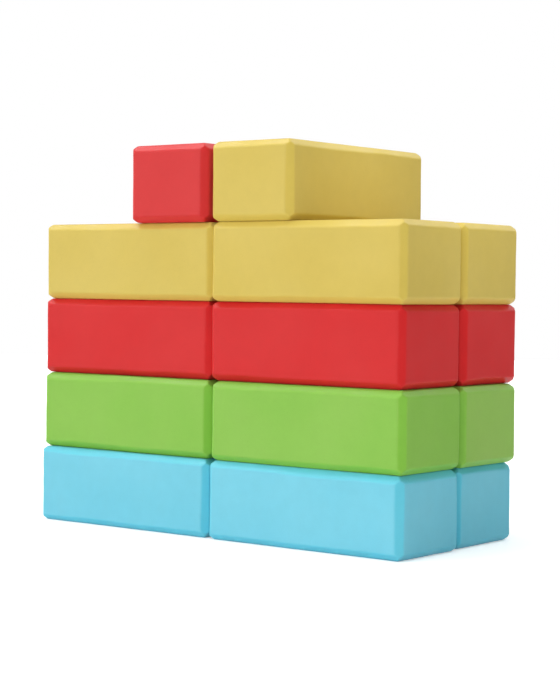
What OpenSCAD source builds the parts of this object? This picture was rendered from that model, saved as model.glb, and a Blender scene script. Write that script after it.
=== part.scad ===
// Stack of giant foam building blocks, set up by hand as a solid wall with two blocks on top.
// Every block is the same brick of closed-cell foam with a bevel on all twelve edges.
// Four layers of four blocks stand in two columns and two rows, one colour to a layer.
// Two more blocks are turned a quarter and lie across both rows, side by side.
// +X runs right along the front, +Y runs back, +Z is up. The origin lies on the floor,
// under the seam between the columns and half way along the two top blocks.

/* [Block] */
// Length of a block
block_l = 300; // [250:1:360]
// Width of a block, across its end face
block_w = 132; // [100:1:148]
// Height of a block
block_h = 101.5; // [70:0.5:130]
// Bevel on every edge, measured along each of the two faces that it joins
bevel = 8.5; // [4:0.5:14]
// Radius that eases each bevel into the faces beside it
ease_r = 4; // [1:0.5:6]

/* [Stack] */
// Distance that nudges count in: how far from its true place a block was set down by hand
hand_error = 10; // [0:0.5:20]
// Room that the uneven foam leaves between a block and the one that it lies on
bed_gap = 0.05; // [0.02:0.01:0.5]

/* [Hidden] */
$fn = 48;

// Corner geometry of the outline: a bevel at half a right angle, eased at both of its ends
bevel_angle = 45;
ease_setback = ease_r * tan(bevel_angle / 2);
ease_run = ease_setback * cos(bevel_angle);

// Colours of the foam
blue_foam = [0.49, 0.82, 0.91];
green_foam = [0.56, 0.80, 0.36];
red_foam = [0.87, 0.24, 0.25];
yellow_foam = [0.86, 0.78, 0.41];

// Places in a layer
left = 0;
right = 1;
front = 0;
rear = 1;

// Layers from the floor up, and the level that the top blocks lie on
blue_layer = 0;
green_layer = 1;
red_layer = 2;
yellow_layer = 3;
top_layer = 4;
layer_colours = [blue_foam, green_foam, red_foam, yellow_foam];

// Where each block was set down, as shares of hand_error along X and Y.
// One line to a layer from the floor up, one row of blocks to a bracket: front, rear. Left comes first.
layer_nudge_shares = [
    [[[0.08, -0.15], [0.17, -0.30]], [[-0.30, 0.05], [-0.25, 0.00]]],
    [[[0.00, 0.30], [0.25, -0.10]], [[0.10, 0.32], [0.30, -0.08]]],
    [[[-0.35, 0.85], [-0.28, 0.35]], [[-0.35, 0.90], [-0.20, 0.60]]],
    [[[-0.15, 0.70], [-0.03, 0.10]], [[-0.10, 0.75], [-0.05, 0.30]]]
];
top_nudge_shares = [[-0.90, 0.25], [-0.20, 0.05]];

// The front of the wall is in line with the front ends of the top blocks
wall_front_y = -block_l / 2;

// Outline of a block seen along one axis: a rectangle with eased bevels at its corners.
// The polygon joins the points where the easing arcs meet the straight stretches.
module eased_outline(width, height) {
    half = [width / 2, height / 2];
    quarter = [
        [half.x, half.y - bevel - ease_setback],
        [half.x - ease_run, half.y - bevel + ease_run],
        [half.x - bevel + ease_run, half.y - ease_run],
        [half.x - bevel - ease_setback, half.y]
    ];
    back_order = [len(quarter) - 1 : -1 : 0];
    polygon([
        for (p = quarter) p,
        for (i = back_order) [-quarter[i].x, quarter[i].y],
        for (p = quarter) -p,
        for (i = back_order) [quarter[i].x, -quarter[i].y]
    ]);
    for (side_x = [-1, 1], side_y = [-1, 1]) {
        translate([side_x * (half.x - ease_r), side_y * (half.y - bevel - ease_setback)])
            circle(ease_r);
        translate([side_x * (half.x - bevel - ease_setback), side_y * (half.y - ease_r)])
            circle(ease_r);
    }
}

// One block about its own centre, length along X. Each outline, drawn out along its axis,
// cuts four of the twelve bevels, and the three meet in a mitred point at every corner.
module foam_block() {
    intersection() {
        rotate([90, 0, 90])
            linear_extrude(block_l, center = true)
                eased_outline(block_w, block_h);
        rotate([90, 0, 0])
            linear_extrude(block_w, center = true)
                eased_outline(block_l, block_h);
        linear_extrude(block_h, center = true)
            eased_outline(block_l, block_w);
    }
}

// Height of a layer's middle above the floor
function layer_mid_z(layer) = (layer + 1 / 2) * block_h + layer * bed_gap;

// Distance of a column's or row's middle from the first one's near side
function place_mid(place, pitch) = (place + 1 / 2) * pitch;

// A block of one of the four layers, length along the wall
module wall_block(layer, row, column) {
    nudge = layer_nudge_shares[layer][row][column] * hand_error;
    color(layer_colours[layer])
        translate([
            place_mid(column, block_l) - block_l + nudge.x,
            wall_front_y + place_mid(row, block_w) + nudge.y,
            layer_mid_z(layer)
        ])
            foam_block();
}

// A block of the top pair, length across the wall
module top_block(column, colour) {
    nudge = top_nudge_shares[column] * hand_error;
    color(colour)
        translate([
            place_mid(column, block_w) - block_w + nudge.x,
            nudge.y,
            layer_mid_z(top_layer)
        ])
            rotate([0, 0, 90])
                foam_block();
}

wall_block(blue_layer, front, left);  // blue_block_front_left
wall_block(blue_layer, front, right);  // blue_block_front_right
wall_block(blue_layer, rear, left);  // blue_block_rear_left
wall_block(blue_layer, rear, right);  // blue_block_rear_right
wall_block(green_layer, front, left);  // green_block_front_left
wall_block(green_layer, front, right);  // green_block_front_right
wall_block(green_layer, rear, left);  // green_block_rear_left
wall_block(green_layer, rear, right);  // green_block_rear_right
wall_block(red_layer, front, left);  // red_block_front_left
wall_block(red_layer, front, right);  // red_block_front_right
wall_block(red_layer, rear, left);  // red_block_rear_left
wall_block(red_layer, rear, right);  // red_block_rear_right
wall_block(yellow_layer, front, left);  // yellow_block_front_left
wall_block(yellow_layer, front, right);  // yellow_block_front_right
wall_block(yellow_layer, rear, left);  // yellow_block_rear_left
wall_block(yellow_layer, rear, right);  // yellow_block_rear_right
top_block(left, red_foam);  // red_block_top
top_block(right, yellow_foam);  // yellow_block_top
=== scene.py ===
# %% [markdown]
# A stack of giant foam building blocks.
#
# Eighteen loose blocks stand as a wall two columns wide and two rows deep, with two more blocks
# turned a quarter on top. Every block is the same brick of closed-cell foam, bevelled on all its
# edges. The lesson makes one block from a rule, with Geometry Nodes, and sets it down eighteen times.
#
# First the imported model is loaded. It is the fixed frame: it says where every block is and which
# body it moves with. Its box is kept.

# %% Load the frame
import math

import bpy
from mathutils import Matrix, Vector


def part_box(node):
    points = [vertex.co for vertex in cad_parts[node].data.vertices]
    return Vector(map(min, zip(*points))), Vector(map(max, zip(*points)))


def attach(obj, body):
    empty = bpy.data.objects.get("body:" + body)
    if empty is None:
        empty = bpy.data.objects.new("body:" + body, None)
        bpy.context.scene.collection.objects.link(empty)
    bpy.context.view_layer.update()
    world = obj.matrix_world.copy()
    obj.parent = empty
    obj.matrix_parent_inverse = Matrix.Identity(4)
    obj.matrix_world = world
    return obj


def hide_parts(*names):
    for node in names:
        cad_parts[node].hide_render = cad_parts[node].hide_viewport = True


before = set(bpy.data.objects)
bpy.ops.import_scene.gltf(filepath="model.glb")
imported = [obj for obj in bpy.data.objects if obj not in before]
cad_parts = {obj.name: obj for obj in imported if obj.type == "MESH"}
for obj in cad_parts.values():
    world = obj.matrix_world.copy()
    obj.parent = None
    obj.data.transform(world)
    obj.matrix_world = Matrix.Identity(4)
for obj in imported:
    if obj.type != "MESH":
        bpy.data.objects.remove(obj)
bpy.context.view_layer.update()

nodes = sorted(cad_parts)
print("blocks in the frame:", len(nodes))

# %% [markdown]
# Node trees are easiest to read when a line of code looks like the sum that it stands for. These
# helpers add a node, feed it numbers or other nodes' outputs, and hand back its result.

# %% Helpers for node trees
def feed(tree, socket, value):
    """Link an output to a socket, or write a constant on the socket itself."""
    if isinstance(value, bpy.types.NodeSocket):
        tree.links.new(value, socket)
    elif value is not None:
        socket.default_value = value


def maths(tree, operation, *values):
    """A Math node on numbers."""
    node = tree.nodes.new("ShaderNodeMath")
    node.operation = operation
    for socket, value in zip(node.inputs, values):
        feed(tree, socket, value)
    return node.outputs[0]


def vectors(tree, operation, *values):
    """A Vector Math node on points and directions."""
    node = tree.nodes.new("ShaderNodeVectorMath")
    node.operation = operation
    for socket, value in zip(node.inputs, values):
        feed(tree, socket, value)
    return node.outputs[0]


def scaled(tree, vector, amount):
    """A vector made longer or shorter."""
    node = tree.nodes.new("ShaderNodeVectorMath")
    node.operation = "SCALE"
    feed(tree, node.inputs["Vector"], vector)
    feed(tree, node.inputs["Scale"], amount)
    return node.outputs[0]


def ranged(tree, value, from_low, from_high, to_low, to_high):
    """A value moved from one range to another, and kept inside it."""
    node = tree.nodes.new("ShaderNodeMapRange")
    for name, number in (
        ("Value", value),
        ("From Min", from_low),
        ("From Max", from_high),
        ("To Min", to_low),
        ("To Max", to_high),
    ):
        feed(tree, node.inputs[name], number)
    return node.outputs["Result"]


def parts_of(tree, vector):
    """The x, y and z of a vector."""
    node = tree.nodes.new("ShaderNodeSeparateXYZ")
    feed(tree, node.inputs[0], vector)
    return node.outputs[0], node.outputs[1], node.outputs[2]


print("node helpers ready")

# %% [markdown]
# The foam. The real blocks are closed-cell foam: a matte, slightly velvety skin of cells under a
# millimetre wide, with a pinhole here and there where a cell was cut open, darkened inside by
# painted shade. The colour runs all through, so nothing can wear off, but the dye is a little uneven
# over a hand's width, and a painted highlight makes the eased edges paler. The bevels are cut after
# the faces, by a hot blade that glazes them: their gloss is higher, and painted shade makes their
# colour deeper, so each shows as a crisp band beside its dull face.
#
# All of that is made by nodes on Object coordinates, in metres, so the pattern has its real size.
# Three attributes from the block's own geometry say where an eased edge gets its painted highlight,
# where a bevel gets its painted shade, and how far the whole block has faded.

# %% Foam finish
# Sizes of the patterns: how many of them there are to a metre
DYE_CLOUDS = 9.0
FINE_DYE_CLOUDS = 60.0
FADE_CLOUDS = 8.0
# the eased edges get their painted highlight in patches of this size
EDGE_HIGHLIGHT_PATCHES = 45.0
GLOSS_SMEARS = 30.0
PINHOLE_CELLS = 260.0
FOAM_CELLS = 1100.0
CELL_GRAIN = 2400.0

# Strengths of what they do
PINHOLE_FROM = 0.72  # chance number over which a cell has a pinhole
# the inside of a pinhole is darkened by painted shade
PINHOLE_SHADE = 0.8  # brightness inside it
PINHOLE_DEPTH = 1.2  # against the height of the cells
BEVEL_FADE = 0.4  # share of the fading that a bevel shows
BEVEL_RELIEF = 0.6  # share of the relief that a bevel keeps
BEVEL_GLAZE = -0.3  # change of roughness on a bevel
SPECULAR_LEVEL = 0.1
SHEEN = 0.02
SHEEN_ROUGHNESS = 0.5
BUMP_STRENGTH = 0.25
BUMP_HEIGHT = 0.0003


def linear(share):
    """A colour share as a screen shows it, turned into the light that it stands for."""
    return share / 12.92 if share <= 0.04045 else ((share + 0.055) / 1.055) ** 2.4


def noise(tree, place, scale, detail, roughness=0.5):
    """Soft noise from 0 to 1, about 0.5 on the whole."""
    node = tree.nodes.new("ShaderNodeTexNoise")
    feed(tree, node.inputs["Vector"], place)
    node.inputs["Scale"].default_value = scale
    node.inputs["Detail"].default_value = detail
    node.inputs["Roughness"].default_value = roughness
    return node.outputs["Fac"]


def cells(tree, place, scale):
    """Distance to the nearest cell's middle, and a chance number for each cell."""
    node = tree.nodes.new("ShaderNodeTexVoronoi")
    feed(tree, node.inputs["Vector"], place)
    node.inputs["Scale"].default_value = scale
    return node.outputs["Distance"], node.outputs["Color"]


def attribute(tree, name):
    """A value that the block's geometry holds for each point."""
    node = tree.nodes.new("ShaderNodeAttribute")
    node.attribute_name = name
    return node.outputs["Fac"]


def mixed(tree, share, first, second):
    """Two colours mixed by a share."""
    node = tree.nodes.new("ShaderNodeMix")
    node.data_type = "RGBA"
    feed(tree, node.inputs["Factor"], share)
    feed(tree, node.inputs[6], first)
    feed(tree, node.inputs[7], second)
    return node.outputs[2]


def foam_finish(name, colour, highlight_and_fade, shaded_bevel):
    """Closed-cell foam of one colour, paler where it has faded, with a painted highlight on its eased
    edges and painted shade on its bevels.
    """
    finish = bpy.data.materials.new(name)
    finish.use_nodes = True
    tree = finish.node_tree
    foam = tree.nodes["Principled BSDF"]
    place = tree.nodes.new("ShaderNodeTexCoord").outputs["Object"]
    skin, highlight_and_fade_colour, bevel_shade_colour = [(*map(linear, c), 1.0) for c in (colour, highlight_and_fade, shaded_bevel)]
    on_bevel = attribute(tree, "bevel_cut")

    # Dye: broad clouds, and finer ones inside them
    broad = noise(tree, place, DYE_CLOUDS, 3.0)
    cloud = maths(tree, "ADD", broad, noise(tree, place, FINE_DYE_CLOUDS, 2.0))
    dye = ranged(tree, cloud, 0.7, 1.3, 0.98, 1.02)

    # Cells: a fine mosaic, with a pinhole where a cell's chance number is high, darkened inside by
    # painted shade
    wall, _ = cells(tree, place, FOAM_CELLS)
    mosaic = ranged(tree, wall, 0.1, 0.7, 1.015, 0.985)
    pinhole_at, pinhole_chance = cells(tree, place, PINHOLE_CELLS)
    picked = maths(tree, "GREATER_THAN", pinhole_chance, PINHOLE_FROM)
    hole = maths(tree, "MULTIPLY", picked, ranged(tree, pinhole_at, 0.06, 0.11, 1.0, 0.0))
    tone = maths(tree, "MULTIPLY", dye, mosaic)
    tone = maths(tree, "MULTIPLY", tone, ranged(tree, hole, 0, 1, 1, PINHOLE_SHADE))

    # Colour: deeper on the bevels, as painted shade, paler on the eased edges, in patches, as a
    # painted highlight, and paler where a block has faded, which is uneven over a face and less on
    # the bevels
    patches = ranged(tree, noise(tree, place, EDGE_HIGHLIGHT_PATCHES, 4.0, 0.6), 0.35, 0.65, 0.1, 0.4)
    edge_highlight = maths(tree, "MULTIPLY", attribute(tree, "edge_rub"), patches)
    blotches = ranged(tree, noise(tree, place, FADE_CLOUDS, 3.0), 0.3, 0.7, -0.16, 0.16)
    faded = maths(tree, "ADD", attribute(tree, "faded"), blotches)
    faded = maths(tree, "MULTIPLY", faded, ranged(tree, on_bevel, 0, 1, 1.0, BEVEL_FADE))
    pale = maths(tree, "MAXIMUM", edge_highlight, faded)
    shade = tree.nodes.new("ShaderNodeHueSaturation")
    with_bevel_shade = mixed(tree, on_bevel, skin, bevel_shade_colour)
    feed(tree, shade.inputs["Color"], mixed(tree, pale, with_bevel_shade, highlight_and_fade_colour))
    feed(tree, shade.inputs["Value"], tone)
    feed(tree, foam.inputs["Base Color"], shade.outputs["Color"])

    # Gloss: matte faces, and bevels that the blade has glazed
    smear = ranged(tree, noise(tree, place, GLOSS_SMEARS, 3.0), 0.3, 0.7, 0.58, 0.7)
    glaze = maths(tree, "MULTIPLY", on_bevel, BEVEL_GLAZE)
    feed(tree, foam.inputs["Roughness"], maths(tree, "ADD", smear, glaze))
    foam.inputs["Specular IOR Level"].default_value = SPECULAR_LEVEL
    foam.inputs["Sheen Weight"].default_value = SHEEN
    foam.inputs["Sheen Roughness"].default_value = SHEEN_ROUGHNESS

    # Relief: cell walls and their finer grain, smoothed on the bevels, and the pinholes
    grain = noise(tree, place, CELL_GRAIN, 2.0)
    relief = maths(tree, "MULTIPLY", maths(tree, "SUBTRACT", grain, wall), 0.5)
    relief = maths(tree, "MULTIPLY", relief, ranged(tree, on_bevel, 0, 1, 1.0, BEVEL_RELIEF))
    relief = maths(tree, "SUBTRACT", relief, maths(tree, "MULTIPLY", hole, PINHOLE_DEPTH))
    bump = tree.nodes.new("ShaderNodeBump")
    bump.inputs["Strength"].default_value = BUMP_STRENGTH
    bump.inputs["Distance"].default_value = BUMP_HEIGHT
    feed(tree, bump.inputs["Height"], relief)
    feed(tree, foam.inputs["Normal"], bump.outputs["Normal"])
    return finish


print("foam finish ready")

# %% [markdown]
# Four colours of foam, one to a layer, written as a screen shows them. Each has three shades of one
# hue: the face, then a paler one, for the painted highlight on eased edges and for fading, and a
# deeper one, which paints shade on the bevels.

# %% The four colours of foam
FOAM_COLOURS = {
    "blue": ((0.472, 0.804, 0.888), (0.56, 0.84, 0.91), (0.405, 0.815, 0.904)),
    "green": ((0.542, 0.755, 0.322), (0.62, 0.77, 0.40), (0.528, 0.768, 0.28)),
    "red": ((0.824, 0.2, 0.204), (0.83, 0.26, 0.26), (0.838, 0.155, 0.16)),
    "yellow": ((0.823, 0.731, 0.366), (0.87, 0.79, 0.46), (0.846, 0.75, 0.352)),
}
finishes = {
    colour: foam_finish(f"{colour}_foam", *shades) for colour, shades in FOAM_COLOURS.items()
}
print("finishes:", ", ".join(finishes))

# %% [markdown]
# The rule of a block. A block could be a cube with a Bevel modifier, but cut foam is softer than
# that: the bevel wanders a little, every edge is eased, and the upright faces are not quite flat.
# The top and bottom stay flat, so that the layers lie close and no light shows between them.
#
# So the block is written as a distance. Six flat faces and twelve bevels are planes, and a point's
# distance to the block is the largest of its distances to those planes. A smooth maximum in place
# of a plain one rounds the edges between them. How far the smooth result stands above the plain
# one tells where the edges are, which later get a paler painted highlight.

# %% Distance to a bevelled block
def distance_to_block(tree, point, half, bevel, ease, dish):
    """Smooth distance, how far a point is on an eased edge, and how far on a bevel, from 0 to 1."""
    outside = vectors(tree, "SUBTRACT", vectors(tree, "ABSOLUTE", point), half)
    x, y, z = parts_of(tree, outside)
    faces = [maths(tree, "ADD", x, dish), maths(tree, "ADD", y, dish), z]
    bevels = []
    for first, second in ((x, y), (y, z), (x, z)):
        across = maths(tree, "ADD", maths(tree, "ADD", first, second), bevel)
        bevels.append(maths(tree, "MULTIPLY", across, math.sqrt(0.5)))
    smooth = None
    for plane in faces + bevels:
        smooth = plane if smooth is None else maths(tree, "SMOOTH_MAX", smooth, plane, ease)
    face = maths(tree, "MAXIMUM", maths(tree, "MAXIMUM", faces[0], faces[1]), faces[2])
    slope = maths(tree, "MAXIMUM", maths(tree, "MAXIMUM", bevels[0], bevels[1]), bevels[2])
    plain = maths(tree, "MAXIMUM", face, slope)
    # On an edge, where two distances are equal, the smooth maximum is a sixth of the ease higher
    most = maths(tree, "DIVIDE", ease, 6.0)
    edge = maths(tree, "DIVIDE", maths(tree, "SUBTRACT", smooth, plain), most)
    lead = maths(tree, "DIVIDE", maths(tree, "SUBTRACT", slope, face), ease)
    return smooth, edge, ranged(tree, lead, -0.5, 0.5, 0.0, 1.0)


print("block rule ready")

# %% [markdown]
# The block's tree. It starts from a cube of points, drawn together towards the edges, where the
# shape turns, and spread out over the faces, where it doesn't. Each point then walks inwards along
# its own ray, by its distance to the block each time, and after a few steps it lies on the surface.
# The ray runs to the nearest point of a core box, so points share out evenly around an edge.
#
# Two noises make it foam: one lets the blade wander along the bevels, by a millimetre or so, and one
# dishes the upright faces by a few tenths of a millimetre, always inwards, so that blocks never cut
# into each other. The seed moves the noise, so no two blocks are alike.

# %% The block as a Geometry Nodes tree
WALK_STEPS = 12


def soft_noise(tree, place, seed, scale, detail):
    """Noise of its own for every seed."""
    node = tree.nodes.new("ShaderNodeTexNoise")
    node.noise_dimensions = "4D"
    feed(tree, node.inputs["Vector"], place)
    feed(tree, node.inputs["W"], seed)
    node.inputs["Scale"].default_value = scale
    node.inputs["Detail"].default_value = detail
    return node.outputs["Fac"]


def input_sockets(tree, sockets):
    """Named inputs of a tree, with where each modifier value goes."""
    keys = {}
    for name, kind in sockets:
        keys[name] = tree.interface.new_socket(name, in_out="INPUT", socket_type=kind).identifier
    return keys


block_tree = bpy.data.node_groups.new("foam_block", "GeometryNodeTree")
block_keys = input_sockets(
    block_tree,
    (
        ("Size", "NodeSocketVector"),
        ("Place", "NodeSocketVector"),
        ("Bevel", "NodeSocketFloat"),
        ("Ease", "NodeSocketFloat"),
        ("Wander", "NodeSocketFloat"),
        ("Dish", "NodeSocketFloat"),
        ("Faded", "NodeSocketFloat"),
        ("Seed", "NodeSocketFloat"),
        ("Cells", "NodeSocketInt"),
        ("Foam", "NodeSocketMaterial"),
    ),
)
block_tree.interface.new_socket("Block", in_out="OUTPUT", socket_type="NodeSocketGeometry")
given = block_tree.nodes.new("NodeGroupInput").outputs
half = scaled(block_tree, given["Size"], 0.5)

# Points: a cube from -1 to 1, half of whose cells go into a narrow rim along the edges
points = block_tree.nodes.new("GeometryNodeMeshCube")
points.inputs["Size"].default_value = (2.0, 2.0, 2.0)
for axis in "XYZ":
    feed(block_tree, points.inputs[f"Vertices {axis}"], given["Cells"])
rim = maths(block_tree, "MULTIPLY_ADD", given["Ease"], 3.0, given["Bevel"])
core = vectors(block_tree, "SUBTRACT", half, rim)
position = block_tree.nodes.new("GeometryNodeInputPosition").outputs[0]
far = vectors(block_tree, "ABSOLUTE", position)
RIM_STARTS = (0.5, 0.5, 0.5)
over_face = vectors(block_tree, "MULTIPLY", vectors(block_tree, "MINIMUM", far, RIM_STARTS), core)
in_rim = scaled(
    block_tree,
    vectors(block_tree, "MAXIMUM", vectors(block_tree, "SUBTRACT", far, RIM_STARTS), (0, 0, 0)),
    rim,
)
spread = scaled(block_tree, vectors(block_tree, "ADD", over_face, in_rim), 2.0)
spread = vectors(block_tree, "MULTIPLY", spread, vectors(block_tree, "SIGN", position))
start = block_tree.nodes.new("GeometryNodeSetPosition")
feed(block_tree, start.inputs["Geometry"], points.outputs["Mesh"])
feed(block_tree, start.inputs["Position"], spread)

# Noise: the blade's wander along the bevels, and the dish of the upright faces
seed = given["Seed"]
swing = maths(block_tree, "SUBTRACT", soft_noise(block_tree, position, seed, 9.0, 3.0), 0.5)
bevel = maths(block_tree, "MULTIPLY_ADD", swing, given["Wander"], given["Bevel"])
dish = maths(block_tree, "MULTIPLY", soft_noise(block_tree, position, seed, 11.0, 2.0), given["Dish"])

# Walk: each point steps inwards by its distance to the block
gap, edge, on_bevel = distance_to_block(block_tree, position, half, bevel, given["Ease"], dish)
not_below = vectors(block_tree, "MAXIMUM", position, scaled(block_tree, core, -1.0))
nearest_core = vectors(block_tree, "MINIMUM", not_below, core)
ray = vectors(block_tree, "NORMALIZE", vectors(block_tree, "SUBTRACT", position, nearest_core))
walk_in = block_tree.nodes.new("GeometryNodeRepeatInput")
walk_out = block_tree.nodes.new("GeometryNodeRepeatOutput")
walk_in.pair_with_output(walk_out)
walk_in.inputs["Iterations"].default_value = WALK_STEPS
step = block_tree.nodes.new("GeometryNodeSetPosition")
feed(block_tree, walk_in.inputs["Geometry"], start.outputs["Geometry"])
feed(block_tree, step.inputs["Geometry"], walk_in.outputs["Geometry"])
inwards = scaled(block_tree, ray, maths(block_tree, "MULTIPLY", gap, -1.0))
feed(block_tree, step.inputs["Offset"], inwards)
feed(block_tree, walk_out.inputs["Geometry"], step.outputs["Geometry"])

# Attributes for the finish: where the eased edges get a painted highlight, where the bevels get
# painted shade, and how far the block has faded; then the block goes to its place
shape = walk_out.outputs["Geometry"]
for label, value in (("edge_rub", edge), ("bevel_cut", on_bevel), ("faded", given["Faded"])):
    store = block_tree.nodes.new("GeometryNodeStoreNamedAttribute")
    store.inputs["Name"].default_value = label
    feed(block_tree, store.inputs["Geometry"], shape)
    feed(block_tree, store.inputs["Value"], value)
    shape = store.outputs["Geometry"]
move = block_tree.nodes.new("GeometryNodeTransform")
feed(block_tree, move.inputs["Geometry"], shape)
feed(block_tree, move.inputs["Translation"], given["Place"])
smooth = block_tree.nodes.new("GeometryNodeSetShadeSmooth")
feed(block_tree, smooth.inputs["Geometry"], move.outputs["Geometry"])
realized = block_tree.nodes.new("GeometryNodeRealizeInstances")
feed(block_tree, realized.inputs["Geometry"], smooth.outputs["Geometry"])
coat = block_tree.nodes.new("GeometryNodeSetMaterial")
feed(block_tree, coat.inputs["Geometry"], realized.outputs["Geometry"])
feed(block_tree, coat.inputs["Material"], given["Foam"])
feed(block_tree, block_tree.nodes.new("NodeGroupOutput").inputs[0], coat.outputs["Geometry"])
print("block tree:", len(block_tree.nodes), "nodes")

# %% [markdown]
# Setting the blocks down. Each block takes its size and place from its node's box in the frame, so
# it fills the room that the construction holds for it. The tree is evaluated once and turned into
# a plain mesh, which stays at the origin with its place in its points. Then it rides on its body
# and stands for its node. Blocks are used and fade one by one: the red one on top has faded
# most, as the photograph shows.

# %% Make and place every block
BEVEL = 0.0085  # metres along each of the two faces
EASE = 0.0018  # reach of the rounding where planes meet
WANDER = 0.007  # metres of bevel for the full range of the noise, most of which is never reached
DISH = 0.0005  # metres, the deepest that an upright face can be
CELLS = 41  # points along each edge of the cube that a block starts from
USUALLY_FADED = 0.1
FADED = {"red_block_top": 0.85, "green_block_rear_right": 0.6, "yellow_block_front_left": 0.2}


def make_block(node, seed):
    """The foam of one node, as a plain mesh that rides on the node's body."""
    low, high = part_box(node)
    colour = node.split("_")[0]
    block = bpy.data.objects.new(node.replace("block", "foam"), bpy.data.meshes.new(node))
    bpy.context.scene.collection.objects.link(block)
    maker = block.modifiers.new("foam_block", "NODES")
    maker.node_group = block_tree
    for name, value in (
        ("Size", high - low),
        ("Place", (low + high) / 2),
        ("Bevel", BEVEL),
        ("Ease", EASE),
        ("Wander", WANDER),
        ("Dish", DISH),
        ("Faded", FADED.get(node, USUALLY_FADED)),
        ("Seed", seed),
        ("Cells", CELLS),
        ("Foam", finishes[colour]),
    ):
        maker[block_keys[name]] = value
    evaluated = block.evaluated_get(bpy.context.evaluated_depsgraph_get())
    mesh = bpy.data.meshes.new_from_object(evaluated)
    block.modifiers.remove(maker)
    block.data = mesh
    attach(block, node.replace("_block", ""))
    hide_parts(node)
    return block


FIRST_SEED = 1.0
SEED_STEP = 7.3
blocks = [make_block(node, SEED_STEP * count + FIRST_SEED) for count, node in enumerate(nodes)]
faces = sum(len(block.data.polygons) for block in blocks)
print("blocks made:", len(blocks), "with", faces, "faces in all")

# %% [markdown]
# The studio. The photograph has a white ground and very even light. The floor is pale and glows a
# little where the camera or a gloss looks at it, and the room is white there and lights nothing, so
# the ground is white without more light on the blocks, and the floor still keeps their shadow.

# %% Floor and room
def looked_at(tree):
    """1 where the camera, a gloss or a clear piece looks, and 0 where it would light the blocks."""
    path = tree.nodes.new("ShaderNodeLightPath").outputs
    seen = maths(tree, "MAXIMUM", path["Is Camera Ray"], path["Is Glossy Ray"])
    return maths(tree, "MAXIMUM", seen, path["Is Transmission Ray"])


def plain_mesh(name, corners):
    """A flat object with one face."""
    mesh = bpy.data.meshes.new(name)
    mesh.from_pydata(corners, [], [tuple(range(len(corners)))])
    thing = bpy.data.objects.new(name, mesh)
    bpy.context.scene.collection.objects.link(thing)
    return thing


FLOOR_R = 6.0
FLOOR_CORNERS = 64
FLOOR_WHITE = 0.92
FLOOR_GLOW = 0.4
floor = plain_mesh(
    "studio_floor",
    [
        (FLOOR_R * math.cos(turn), FLOOR_R * math.sin(turn), 0.0)
        for turn in (2 * math.pi * i / FLOOR_CORNERS for i in range(FLOOR_CORNERS))
    ],
)
floor_finish = bpy.data.materials.new("studio_floor")
floor_finish.use_nodes = True
floor_tree = floor_finish.node_tree
floor_tree.nodes.clear()
paper = floor_tree.nodes.new("ShaderNodeBsdfDiffuse")
paper.inputs["Color"].default_value = (FLOOR_WHITE, FLOOR_WHITE, FLOOR_WHITE, 1.0)
glow = floor_tree.nodes.new("ShaderNodeEmission")
shine = maths(floor_tree, "MULTIPLY", looked_at(floor_tree), FLOOR_GLOW)
feed(floor_tree, glow.inputs["Strength"], shine)
both = floor_tree.nodes.new("ShaderNodeAddShader")
feed(floor_tree, both.inputs[0], paper.outputs[0])
feed(floor_tree, both.inputs[1], glow.outputs[0])
floor_out = floor_tree.nodes.new("ShaderNodeOutputMaterial")
feed(floor_tree, floor_out.inputs["Surface"], both.outputs[0])
floor.data.materials.append(floor_finish)

room = bpy.data.worlds.new("studio_room")
bpy.context.scene.world = room
room.use_nodes = True
room_tree = room.node_tree
sky = room_tree.nodes["Background"]
sky.inputs["Color"].default_value = (1.0, 1.0, 1.0, 1.0)
feed(room_tree, sky.inputs["Strength"], looked_at(room_tree))
print("floor:", 2 * FLOOR_R, "m across")

# %% [markdown]
# The lamps. A sun lamp with a wide angle is a softbox that is equally strong over the whole stack.
# Most of the light comes from the front and above. A level panel at the front right reaches the
# lower bevels. Another, at the right and a little behind, lights the side faces and the floor
# beside them, and leaves the grooves dark. Two small boxes, at the upper left and behind, stand
# where the top bevels mirror them to the camera, and put the bright lines there. A spot from the
# right lifts the side of the yellow top block.

# %% Lamps
def soft_lamp(name, towards, strength, spread_degrees):
    """A lamp that shines one way, from a disc of sky as wide as its spread."""
    lamp = bpy.data.lights.new(name, "SUN")
    lamp.energy = strength
    lamp.angle = math.radians(spread_degrees)
    thing = bpy.data.objects.new(name, lamp)
    thing.rotation_euler = Vector(towards).to_track_quat("-Z", "Y").to_euler()
    bpy.context.scene.collection.objects.link(thing)


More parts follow.
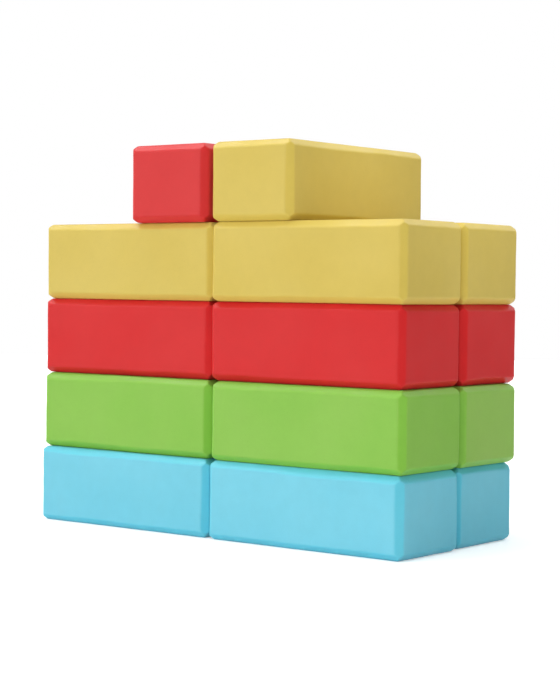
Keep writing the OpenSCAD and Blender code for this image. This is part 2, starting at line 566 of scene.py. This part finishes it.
SOFTBOXES = (
    ("front_softbox", (0.323, 0.576, -0.75), 1.36, 60.0),
    ("level_panel", (-0.421, 0.903, -0.087), 1.09, 40.0),
    ("left_softbox", (0.837, 0.483, -0.259), 0.85, 60.0),
    ("top_softbox", (0.0, -0.259, -0.966), 1.46, 60.0),
    ("upper_left_softbox", (0.613, 0.035, -0.79), 0.62, 14.0),
    ("rear_softbox", (-0.035, -0.79, -0.613), 0.17, 14.0),
    ("right_panel", (-0.84, -0.392, -0.375), 0.43, 30.0),
)
for softbox in SOFTBOXES:
    soft_lamp(*softbox)

SPOT_PLACE = Vector((0.9, 0.05, 0.95))
SPOT_TARGET = Vector((0.14, 0.0, 0.45))
SPOT_WATTS = 17.0
SPOT_DEGREES = 17.0
SPOT_BLEND = 0.6
SPOT_R = 0.15
spot = bpy.data.lights.new("right_spot", "SPOT")
spot.energy = SPOT_WATTS
spot.spot_size = math.radians(SPOT_DEGREES)
spot.spot_blend = SPOT_BLEND
spot.shadow_soft_size = SPOT_R
spot_lamp = bpy.data.objects.new("right_spot", spot)
spot_lamp.location = SPOT_PLACE
spot_lamp.rotation_euler = (SPOT_TARGET - SPOT_PLACE).to_track_quat("-Z", "Y").to_euler()
bpy.context.scene.collection.objects.link(spot_lamp)
print("lamps:", len(SOFTBOXES), "softboxes and a spot")

# %% [markdown]
# The camera. Its place and lens were found by fitting the blocks' edges to the photograph: it
# stands low, to the right of the front, and looks down by two degrees with a long lens.

# %% Camera
CAMERA_PLACE = (1.4817, -1.9115, 0.323)
SENSOR_MM = 36.0
LENS_MM = 92.723
HEADING, TILT, ROLL = (math.radians(angle) for angle in (37.7626, 1.9816, 0.6549))
ahead = Vector(
    (
        -math.sin(HEADING) * math.cos(TILT),
        math.cos(HEADING) * math.cos(TILT),
        -math.sin(TILT),
    )
)
level = Vector((math.cos(HEADING), math.sin(HEADING), 0.0))
upright = level.cross(ahead)
right = level * math.cos(ROLL) + upright * math.sin(ROLL)
up = upright * math.cos(ROLL) - level * math.sin(ROLL)
lens = bpy.data.cameras.new("photo_camera")
lens.sensor_fit = "VERTICAL"
lens.sensor_height = SENSOR_MM
lens.lens = LENS_MM
camera = bpy.data.objects.new("photo_camera", lens)
facing = Matrix((right, up, -ahead)).transposed().to_4x4()
camera.matrix_world = Matrix.Translation(CAMERA_PLACE) @ facing
bpy.context.scene.collection.objects.link(camera)
bpy.context.scene.camera = camera
bpy.context.scene.view_settings.view_transform = "Standard"
print("camera at", CAMERA_PLACE)
